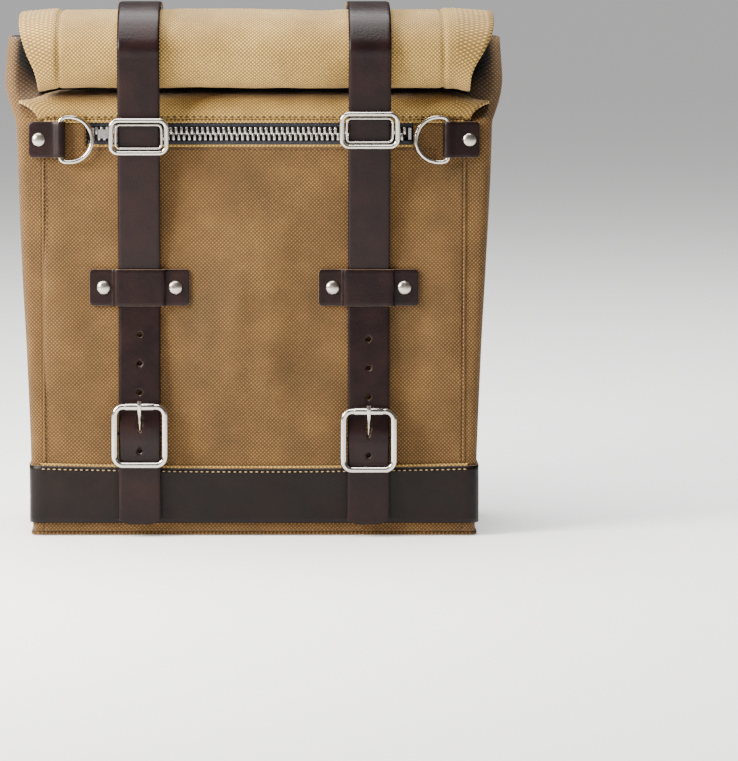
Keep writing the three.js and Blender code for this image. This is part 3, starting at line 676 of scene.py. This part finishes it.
def roll_bow(u, v, at):
    hem = 1.6 * MM if at.x < FOLD_LEFT or at.x > FOLD_RIGHT else 0
    groove = sum(max(0, 1 - abs(at.x - seam) / (2.2 * MM)) for seam in (FOLD_LEFT, FOLD_RIGHT))
    wave = ripple(at.x * 14, v * 5, 2.2) + 0.4 * ripple(at.x * 45, v * 22, 7.7)
    held = soft_step(abs(abs(at.x) - STRAP_X), 14 * MM, 34 * MM)
    out = Vector((0, at.y + 28 * MM, at.z - 342 * MM)).normalized()
    fold = max(0, (abs(at.x) - 140 * MM) / (10 * MM))
    fold *= soft_step(v, 0.08, 0.2) * (1 - soft_step(v, 0.42, 0.5))
    rise = soft_step(at.z, 309 * MM, 368 * MM)
    spread = 14 * MM * rise if at.x < 0 else 17 * MM * soft_step(at.z, 318 * MM, 364 * MM)
    spread = Vector((fold * spread * (-1 if at.x < 0 else 1), 3 * MM * fold * rise, -2 * MM * fold * rise))
    spread.z -= 2 * MM * soft_step(abs(at.x), 138 * MM, ROLL_HALF) * (1 - rise)
    out *= soft_step(v, 0.03, 0.08)
    return out * ((hem - 2.4 * MM * groove) * (1 - v) + 1.6 * MM * wave * held) + spread


roll = ribbon("roll_canvas", coil, 0, ROLL_HALF, ROLL, [CANVAS_LIT, CANVAS_INSIDE], cells=(210, 110),
              bow=roll_bow, rim=0, levels=0, flip=True)
roll.modifiers["thickness"].material_offset = 1
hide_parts("roll_top")
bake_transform(roll)
print("cloth in the roll:", round(length_of(coil), 3), "m")

# %% [markdown]
# ## The leather base band
# A wide strip sewn round the lower edge of the front and sides. Its upper edge bows down a
# little in the middle, where the bag swells over it.

# %% Base band
band_line = [(-HALF_BASE, 55 * MM), (-HALF_BASE, FRONT + CORNER)]
band_line += [(-HALF_BASE + CORNER - CORNER * cos(a * pi / 12), FRONT + CORNER - CORNER * sin(a * pi / 12))
              for a in range(1, 6)]
band_line += [(-HALF_BASE + CORNER, FRONT), (HALF_BASE - CORNER, FRONT)]
band_line += [(HALF_BASE - CORNER + CORNER * sin(a * pi / 12), FRONT + CORNER - CORNER * cos(a * pi / 12))
              for a in range(1, 6)]
band_line += [(HALF_BASE, FRONT + CORNER), (HALF_BASE, 55 * MM)]
BAND_OUT = 2.3 * MM


def band_out(x, y):
    way = Vector((x - max(min(x, HALF_BASE - CORNER), CORNER - HALF_BASE), y - max(y, FRONT + CORNER)))
    return way.normalized() if way.length > 0.5 * MM else Vector((0, -1))


def band_top(x):
    return BAND_HIGH - 2.2 * MM * cos(min(abs(x) / HALF_BASE, 1) * pi / 2)


def band_place(u, v):
    x, y = along(band_line, u)
    way = band_out(x, y)
    z = BAND_LOW + v * (band_top(x) - BAND_LOW)
    puff = 0.35 * MM * ripple(x * 30, z * 40, 4)
    return Vector((x + way.x * (BAND_OUT + puff), y + way.y * (BAND_OUT + puff), z))


band = lay("base_band_leather", (200, 12), (length_of(band_line), 0.04), band_place,
           [LEATHER_BAND, LEATHER_EDGE])
thicken(band, 1.9 * MM, levels=0, rim=1)
ride(band, "bag", "leather", "base_band")
print("band length:", round(length_of(band_line), 3))

# %% [markdown]
# ## Straps
# Each strap is one piece of leather from the rivets on the back, over the roll and down to its
# tip. Its surface falls away a little at both edges. The punched holes are cut right through, and
# the one under the tongue is a slot, so that the stiff tongue has room to swing.

# %% Straps
STRAP = 3 * MM
STRAP_HALF = 15 * MM
STRAP_LIFT = 5.9 * MM
HOLES_ABOVE_BAR = (69.4, 49.4, 28.9, -11.6)
KEEPER = {side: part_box(f"keeper_{side}") for side, _ in SIDES}
PIVOT = {j["name"]: j["pos_m"] for j in frame["joints"] if "pos_m" in j}


def strap_line(bar_z):
    over = flowing([(y * MM, z * MM) for y, z in OVER + [(-79.8, 338)]], 4)
    raised = []
    for k, at in enumerate(over):
        way = (over[min(k + 1, len(over) - 1)] - over[max(k - 1, 0)]).normalized()
        raised.append((at[0] + way[1] * STRAP_LIFT, at[1] - way[0] * STRAP_LIFT))
    keeper_low, keeper_high = KEEPER["left"][0][2], KEEPER["left"][1][2]
    back_y, flat = BACK + GAP + STRAP, FRONT - 2 * GAP - STRAP
    down = [(flat, keeper_high), (flat, keeper_low), (-71.0 * MM, bar_z + 19.6 * MM),
            (-74.2 * MM, bar_z + 5 * MM), (-74.3 * MM, bar_z - 4 * MM), (-72.7 * MM, bar_z - 13 * MM),
            (-71.8 * MM, bar_z - 23.5 * MM), (-71.8 * MM, 9 * MM)]
    return [(back_y, 236 * MM), (back_y, 304 * MM)] + raised + down


def cut_holes(piece, centres, radius):
    bm = bmesh.new()
    for x, z, y, stretch in centres:
        made = bmesh.ops.create_cone(bm, cap_ends=True, segments=20, radius1=radius, radius2=radius,
                                     depth=16 * MM)
        bmesh.ops.scale(bm, vec=(1, stretch, 1), verts=made["verts"])
        bmesh.ops.rotate(bm, matrix=Matrix.Rotation(pi / 2, 3, "X"), verts=made["verts"])
        bmesh.ops.translate(bm, vec=(x, y, z), verts=made["verts"])
    cutter = finish_mesh("punch", bm, [LEATHER_EDGE])
    punch = piece.modifiers.new("holes", "BOOLEAN")
    punch.object = cutter
    punch.operation = "DIFFERENCE"
    punch.solver = "EXACT"
    graph = bpy.context.evaluated_depsgraph_get()
    cut = bpy.data.meshes.new_from_object(piece.evaluated_get(graph))
    piece.modifiers.clear()
    piece.data = cut
    bpy.data.objects.remove(cutter)


for side, sign in SIDES:
    x = sign * STRAP_X
    bar_z = PIVOT[f"buckle_rock_{side}"][2]
    line = strap_line(bar_z)
    long = length_of(line)

    def strap_place(u, v, line=line, x=x):
        at = along(line, v)
        edge = abs(2 * u - 1)
        round_tip = 2.5 * MM * soft_step(v, 0.993, 1) * soft_step(edge, 0.5, 1)
        crown = 0.5 * MM * soft_step(edge, 0.88, 1)
        way = (along(line, min(v + 0.004, 1)) - along(line, max(v - 0.004, 0))).normalized()
        return Vector((x + (2 * u - 1) * (STRAP_HALF - 0.3 * MM), at[0] - way[1] * crown,
                       at[1] + way[0] * crown + round_tip))
    strap = lay(f"strap_leather_{side}", (18, 230), (2 * STRAP_HALF, long), strap_place,
                [LEATHER, LEATHER_EDGE], flip=True)
    thicken(strap, STRAP - 0.4 * MM, levels=0, rim=1)
    holes = [(x, bar_z + up * MM, -70 * MM, 1) for up in HOLES_ABOVE_BAR]
    cut_holes(strap, holes + [(x, bar_z + 7.8 * MM, -72 * MM, 3.4)], 2.0 * MM)
    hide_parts(f"strap_{side}")
    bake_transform(strap)
    print("strap", side, "length", round(long, 3), "m")

# %% [markdown]
# ## Keepers and tabs
# Short pieces of the same leather: each keeper arches over its strap and is riveted at both
# feet; each D-ring tab is folded round the ring and held by one rivet.

# %% Keepers, tabs and hanger loops
def side_ribbon(name, line, low, high, thick, sign=1, x=0.0, steps=36):
    long = length_of(line)

    def place(u, v):
        at = along(line, u)
        r = 2.5 * MM
        inset = max(0, r - min(u, 1 - u) * long)
        trim = r - (r * r - inset * inset) ** 0.5
        return Vector((x + sign * at[0], at[1], low + trim + v * (high - low - 2 * trim)))
    piece = lay(name, (steps, 10), (long, high - low), place, [LEATHER, LEATHER_EDGE], flip=sign < 0)
    return wear_edges(thicken(piece, thick, levels=0, rim=1), 0.35 * MM)


for side, sign in SIDES:
    low, high = KEEPER[side]
    foot, top = FRONT - 2.3 * MM, low[1] + 0.1 * MM
    arch = [(-35 * MM, foot), (-19.2 * MM, foot), (-18 * MM, foot - 1 * MM), (-17 * MM, top + 0.6 * MM),
            (-15 * MM, top), (15 * MM, top), (17 * MM, top + 0.6 * MM), (18 * MM, foot - 1 * MM),
            (19.2 * MM, foot), (35 * MM, foot)]
    keeper = side_ribbon(f"keeper_leather_{side}", arch, low[2], high[2], 1.9 * MM, x=sign * STRAP_X,
                         steps=60)
    ride(keeper, "bag", "leather", f"keeper_{side}")

    low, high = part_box(f"d_ring_tab_{side}")
    pivot_x = abs(PIVOT[f"d_ring_swing_{side}"][0])
    pivot_y = PIVOT[f"d_ring_swing_{side}"][1]
    far = max(abs(low[0]), abs(high[0]))
    fold = [(far, FRONT - 2.1 * MM), (pivot_x, FRONT - 1.0 * MM)]
    for a in range(1, 10):
        turn = a * pi / 10
        fold.append((pivot_x - 3.6 * MM * sin(turn), pivot_y + 3.6 * MM * cos(turn)))
    fold += [(pivot_x + 1 * MM, pivot_y - 3.5 * MM), (pivot_x + 4.5 * MM, pivot_y - 1.2 * MM),
             (far, pivot_y + 0.9 * MM)]
    tab = side_ribbon(f"ring_tab_leather_{side}", fold, low[2], high[2], 1.5 * MM, sign=sign, steps=40)
    ride(tab, "bag", "leather", f"d_ring_tab_{side}")

    low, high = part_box(f"hanger_loop_{side}")
    mid = (low[2] + high[2]) / 2
    flat = BACK + 2.8 * MM
    half = [(flat, 27 * MM), (flat, 13 * MM), (71 * MM, 11.2 * MM), (77.6 * MM, 6.4 * MM)]
    loop = flowing([(y, mid + up) for y, up in half] + [(79.8 * MM, mid)]
                   + [(y, mid - up) for y, up in half[::-1]], 4)
    hanger = ribbon(f"hanger_leather_{side}", loop, (low[0] + high[0]) / 2, 20 * MM, 2.4 * MM,
                    [LEATHER, LEATHER_EDGE], cells=(8, 40), levels=0, flip=True)
    ride(hanger, "bag", "leather", f"hanger_loop_{side}")
print("small leather laid")

# %% [markdown]
# ## Chapes
# The chape is the short strap that is folded round the buckle's bar and sewn on over the band.
# Its shape is already right in the measured frame, so its mesh is copied, its loose triangles
# are joined, and a small bevel gives the cut edges their worn look.

# %% Chapes
for side, sign in SIDES:
    node = f"buckle_chape_{side}"
    bm = bmesh.new()
    bm.from_mesh(frame["nodes"][node].data)
    bmesh.ops.remove_doubles(bm, verts=bm.verts, dist=0.005 * MM)
    bmesh.ops.dissolve_limit(bm, angle_limit=pi / 90, verts=bm.verts, edges=bm.edges)
    chape = wear_edges(finish_mesh(f"chape_leather_{side}", bm, [LEATHER]), 0.3 * MM)
    ride(chape, "bag", "leather", node)
print("chapes laid")

# %% [markdown]
# ## Hardware
# Rings, slides and buckles are drawn as a bent wire along their outline, the way they are
# formed, so their corners stay round from every side. A slide is flat and wide, so a thinner wire
# runs inside the outer one. LEAN is the angle at which the straps come down over the shoulder.

# %% Slides, D-rings and buckles
LEAN = atan2(19.098, 150.27)


def tilt_at(x, y, z, lean=0.0):
    return Matrix.Translation((x, y, z)) @ Matrix.Rotation(lean, 4, "X")


for side, sign in SIDES:
    x = sign * STRAP_X
    low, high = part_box(f"strap_slide_{side}")
    mid_z = (low[2] + high[2]) / 2
    slide_y = (low[1] + high[1]) / 2 + 0.1 * MM
    seat = tilt_at(x, slide_y, mid_z, LEAN)
    ring = wire("ring", rounded(19.25 * MM, -11.5 * MM, 11.5 * MM, 5.2 * MM), 1.75 * MM, NICKEL,
                turn=seat @ Matrix.Translation((0, -3.4 * MM, 0)))
    inner = wire("inner", rounded(15.9 * MM, -8.3 * MM, 8.3 * MM, 3.2 * MM), 0.75 * MM, NICKEL,
                 turn=seat @ Matrix.Translation((0, -3.2 * MM, 0)))
    cross = wire("cross", [(-19.2 * MM, -2 * MM, 0), (-18.6 * MM, 2.4 * MM, 0), (-17 * MM, 3.4 * MM, 0),
                           (17 * MM, 3.4 * MM, 0), (18.6 * MM, 2.4 * MM, 0), (19.2 * MM, -2 * MM, 0)],
                 1.5 * MM, NICKEL, closed=False, turn=seat)
    node = f"strap_slide_{side}"
    ride(merge(f"slide_metal_{side}", [ring, inner, cross]), node, "nickel", node)

    pivot = PIVOT[f"d_ring_swing_{side}"]
    arc = [(0, 0, -12 * MM), (0.4 * MM, 0, -13.6 * MM), (1.6 * MM, 0, -15 * MM), (4 * MM, 0, -15.7 * MM)]
    for k in range(25):
        a = (k / 24 - 0.5) * pi * 0.98
        arc.append(((6.8 + 15.5 * cos(a)) * MM, 0, 15.7 * sin(a) * MM))
    arc += [(p[0], 0, -p[2]) for p in arc[3::-1]]
    d_ring = wire(f"d_ring_metal_{side}", [(-sign * p[0], 0, p[2]) for p in arc], 1.65 * MM, NICKEL,
                  turn=tilt_at(*pivot))
    ride(d_ring, f"d_ring_{side}", "nickel", f"d_ring_{side}")

    bar_at = PIVOT[f"buckle_rock_{side}"]
    roller_at = PIVOT[f"roller_spin_{side}"]
    plane = tilt_at(x, roller_at[1], bar_at[2])
    top = roller_at[2] - bar_at[2]
    hoop = wire("hoop", rounded(17.6 * MM, -21.5 * MM, top, 6.2 * MM), 2.2 * MM, NICKEL, flat=0.92,
                turn=plane)
    cross = wire("cross", [(-17.6 * MM, 0, 0), (-17.2 * MM, 5 * MM, 0), (-15.9 * MM, 7 * MM, 0),
                           (15.9 * MM, 7 * MM, 0), (17.2 * MM, 5 * MM, 0), (17.6 * MM, 0, 0)],
                 1.45 * MM, NICKEL, closed=False, turn=plane)
    ride(merge(f"buckle_metal_{side}", [hoop, cross]), f"buckle_{side}", "nickel", f"buckle_frame_{side}")
    roller = bar(f"roller_metal_{side}", (x - 10.3 * MM, roller_at[1], roller_at[2]),
                 (x + 10.3 * MM, roller_at[1], roller_at[2]), 2.75 * MM, NICKEL, 0.15)
    ride(roller, f"roller_{side}", "nickel", f"buckle_roller_{side}")
    path = [(0, 2.5 * MM, -1 * MM), (0, 0.6 * MM, -2.4 * MM), (0, -1.5 * MM, -2.1 * MM), (0, -2.6 * MM, 0),
            (0, -4 * MM, 5.5 * MM), (0, -7 * MM, 10.4 * MM), (0, -10.2 * MM, 15 * MM),
            (0, -11.0 * MM, 19.6 * MM), (0, -10.6 * MM, 24 * MM)]
    smooth_path = flowing(path, 5)
    radii = [0.9 + 0.45 * soft_step(p[2], 8 * MM, 22 * MM) for p in smooth_path]
    tongue = wire(f"tongue_metal_{side}", smooth_path, 1.15 * MM, NICKEL, closed=False, radii=radii,
                  turn=tilt_at(x, bar_at[1], bar_at[2]))
    ride(tongue, f"tongue_{side}", "nickel", f"buckle_tongue_{side}")
print("hardware bent")

# %% [markdown]
# ## Rivets
# A low dome, spun from half its outline and set slightly unevenly, as a hand-set rivet is. Each
# one replaces the plain rivet of the frame at the same place.

# %% Rivets
def dome(name, node, outward):
    low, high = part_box(node)
    x, z = (low[0] + high[0]) / 2, (low[2] + high[2]) / 2
    seat = high[1] if outward > 0 else low[1]
    r = (high[0] - low[0]) / 2
    bm = bmesh.new()
    outline = [(0, 2.3), (1.6, 2.15), (3.2, 1.75), (4.4, 1.1), (5.05, 0.45), (5.2, 0.0), (4.6, -0.25)]
    verts = [bm.verts.new((a * r / 5.2, 0, (h - 2.2) * MM)) for a, h in outline]
    edges = [bm.edges.new(pair) for pair in zip(verts, verts[1:])]
    bmesh.ops.spin(bm, geom=verts + edges, cent=(0, 0, 0), axis=(0, 0, 1), angle=2 * pi, steps=28,
                   use_merge=True)
    bmesh.ops.remove_doubles(bm, verts=bm.verts, dist=0.02 * MM)
    for vert in bm.verts:
        vert.co.z += 0.12 * MM * ripple(vert.co.x * 500 + x * 90, vert.co.y * 500, z * 90)
    bmesh.ops.holes_fill(bm, edges=bm.edges)
    bmesh.ops.rotate(bm, matrix=Matrix.Rotation(-outward * pi / 2, 3, "X"), verts=bm.verts)
    bmesh.ops.translate(bm, vec=(x, seat, z), verts=bm.verts)
    bmesh.ops.recalc_face_normals(bm, faces=bm.faces)
    piece = finish_mesh(name, bm, [RIVET_METAL])
    return ride(piece, "bag", "nickel", node)


rivets = [n for n in frame["nodes"] if "_rivet_" in n]
for node in rivets:
    dome(node + "_dome", node, 1 if node.startswith(("strap", "hanger")) else -1)
print("rivets set:", len(rivets))

# %% [markdown]
# ## Stitching
# Threads are modelled, because each stitch throws its own small shadow: a short pill, repeated
# along the seam at the maker's stitch length.

# %% Stitch rows
def stitches(name, line, normal, material, pitch=3.6 * MM, size=2.3 * MM, thick=0.45 * MM):
    long = length_of(line)
    count = int(long / pitch)
    bm = bmesh.new()
    for k in range(count):
        t = (k + 0.5) / count
        at = along(line, t)
        way = (along(line, min(t + 0.002, 1)) - along(line, max(t - 0.002, 0))).normalized()
        made = bmesh.ops.create_uvsphere(bm, u_segments=6, v_segments=4, radius=1)["verts"]
        turn = Matrix.Identity(3)
        turn.col[0], turn.col[1] = way, Vector(normal)
        turn.col[2] = way.cross(Vector(normal))
        bmesh.ops.scale(bm, vec=(size / 2, thick, thick), verts=made)
        bmesh.ops.rotate(bm, matrix=turn, verts=made)
        bmesh.ops.translate(bm, vec=at, verts=made)
    bmesh.ops.recalc_face_normals(bm, faces=bm.faces)
    return ride(finish_mesh(name, bm, [material]), "bag", "waxed_canvas")


def row(z, x0, x1, out, steps=60):
    return [Vector((x0 + (x1 - x0) * k / steps, FRONT - swell(x0 + (x1 - x0) * k / steps, z) - out, z))
            for k in range(steps + 1)]


OUTWARD = (0, -1, 0)
stitches("zip_lower_stitches", row(ZIP_BOTTOM - 2.6 * MM, -128 * MM, 128 * MM, 0.1 * MM), OUTWARD,
         DARK_THREAD)
above = ZIP_TOP + 3.0 * MM
stitches("zip_upper_stitches", [Vector((sx * 146 * MM, FRONT - 1.3 * MM, above)) for sx in (-1, 1)],
         OUTWARD, DARK_THREAD, pitch=4.4 * MM, size=2.9 * MM, thick=0.55 * MM)
set_back = FRONT + 0.6 * (BACK - FRONT) * (above - ZIP_TOP) / (EAR_TOP - ZIP_TOP)
for side, sign in SIDES:
    ends = [Vector((sign * end * MM, set_back - 0.3 * MM, above)) for end in (150, 161)]
    stitches(f"zip_end_stitches_{side}", ends, OUTWARD, DARK_THREAD, pitch=4.4 * MM, size=2.9 * MM,
             thick=0.55 * MM)
    seam = SEAM_X - 2.2 * MM
    up = [Vector((sign * seam, FRONT - swell(seam, z * MM) - 0.1 * MM, z * MM)) for z in range(54, 266, 4)]
    stitches(f"side_seam_stitches_{side}", up, OUTWARD, DARK_THREAD, pitch=4.0 * MM, size=2.2 * MM,
             thick=0.32 * MM)
    back_seam = [Vector((sign * 146.5 * MM, BACK + 0.5 * MM, z * MM)) for z in range(8, 306, 6)]
    stitches(f"back_seam_stitches_{side}", back_seam, (0, 1, 0), DARK_THREAD, pitch=4.0 * MM,
             size=2.2 * MM, thick=0.4 * MM)
band_sew = []
for k in range(161):
    x = (k / 80 - 1) * (HALF_BASE - CORNER)
    band_sew.append(Vector((x, FRONT - BAND_OUT - 0.2 * MM, band_top(x) - 2.2 * MM)))
stitches("band_stitches", band_sew, OUTWARD, CREAM_THREAD, pitch=3.8 * MM, size=2.5 * MM,
         thick=0.4 * MM)
for side, sign in SIDES:
    edge_x = sign * (HALF_BASE + BAND_OUT + 0.2 * MM)
    edge = [Vector((edge_x, y * MM, BAND_HIGH - 2.3 * MM)) for y in (-54, 52)]
    stitches(f"band_side_stitches_{side}", edge, (sign, 0, 0), CREAM_THREAD, pitch=4.0 * MM,
             size=2.5 * MM, thick=0.4 * MM)
print("seams sewn")

# %% [markdown]
# ## Turned edges
# Where canvas is turned under along the zip and above the band, the fold is a thin roll in the lighter
# canvas copy: painted light.

# %% Turned edges
def turned_edge(name, line, r, material=CANVAS_LIT):
    piece = wire(name, line, r, material, closed=False)
    cloth = piece.data.uv_layers.new(name="cloth")
    for loop in piece.data.loops:
        co = piece.data.vertices[loop.vertex_index].co
        cloth.data[loop.index].uv = (co.x, co.z)
    return ride(piece, "bag", "waxed_canvas")


zip_edge = [Vector((x * MM, FRONT - 0.7 * MM, ZIP_TOP)) for x in range(-146, 147, 4)]
turned_edge("zip_fold_upper", zip_edge, 1.0 * MM)
turned_edge("zip_fold_lower", row(ZIP_BOTTOM, ZIP_X[0], ZIP_X[1], -0.6 * MM), 1.0 * MM)
for side, sign in SIDES:
    seam = [Vector((sign * SEAM_X, FRONT - 0.1 * MM, z * MM)) for z in range(52, 290, 6)]
    turned_edge(f"side_fold_{side}", seam, 0.9 * MM, CANVAS_TAN)
edge_line = []
for k in range(81):
    x = (k / 40 - 1) * (HALF_BASE - CORNER)
    edge_line.append(Vector((x, FRONT - 0.9 * MM, band_top(x) + 0.8 * MM)))
turned_edge("band_fold", edge_line, 1.0 * MM)
print("edges turned")

# %% [markdown]
# ## The zip
# Each tooth is a small block with softened edges, repeated at the chain's pitch; the two rows
# are half a pitch apart. Slider, pull and stops keep the frame's own shapes and only need their
# finish. The tapes become woven strips.

# %% Zip and hidden boards
def teeth_row(name, node, start, reach):
    low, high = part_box(node)
    mid = (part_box("zip_teeth_upper")[1][2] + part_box("zip_teeth_lower")[0][2]) / 2
    bm = bmesh.new()
    x = low[0] + start
    while x < high[0] - 1 * MM:
        made = bmesh.ops.create_cube(bm, size=1)["verts"]
        bmesh.ops.scale(bm, vec=(1.75 * MM, 1.9 * MM, 5.0 * MM), verts=made)
        bmesh.ops.translate(bm, vec=(x, (low[1] + high[1]) / 2, mid + reach * 2.1 * MM), verts=made)
        x += 3.7 * MM
    soften(bm, bm.edges[:], 0.4 * MM)
    return ride(finish_mesh(name, bm, [ZIP_METAL]), "bag", "zip_metal", node)


teeth_row("teeth_upper_row", "zip_teeth_upper", 1.2 * MM, 1)
teeth_row("teeth_lower_row", "zip_teeth_lower", 3.05 * MM, -1)
for node in ("zip_slider", "zip_pull", "zip_stop_start", "zip_stop_end"):
    frame["nodes"][node].data.materials.clear()
    frame["nodes"][node].data.materials.append(ZIP_METAL)
for node in ("back_board", "base_board"):
    frame["nodes"][node].data.materials.clear()
    frame["nodes"][node].data.materials.append(BOARD)


def tape_strip(name, node):
    low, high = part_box(node)

    def place(u, v):
        z = low[2] + v * (high[2] - low[2])
        x = low[0] + u * (high[0] - low[0])
        y = low[1] - 0.25 * MM * sin(pi * v) + 0.1 * MM * ripple(x * 90, z * 50, 1)
        return Vector((x, y, z))
    piece = lay(name, (120, 4), (high[0] - low[0], high[2] - low[2]), place, [ZIP_TAPE])
    thicken(piece, 0.7 * MM, levels=0)
    return ride(piece, "bag", "zip_tape", node)


tape_strip("tape_upper_weave", "zip_tape_upper")
tape_strip("tape_lower_weave", "zip_tape_lower")
low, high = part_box("pocket_lining")


def lining_place(u, v):
    x, z = low[0] + u * (high[0] - low[0]), low[2] + v * (high[2] - low[2])
    return Vector((x, low[1] + 0.3 * MM * ripple(x * 30, z * 30, 6), z))


lining = lay("pocket_lining_cloth", (40, 30), (high[0] - low[0], high[2] - low[2]), lining_place,
             [CANVAS_INSIDE])
thicken(lining, 0.6 * MM, levels=0)
ride(lining, "bag", "lining", "pocket_lining")
print("zip finished")
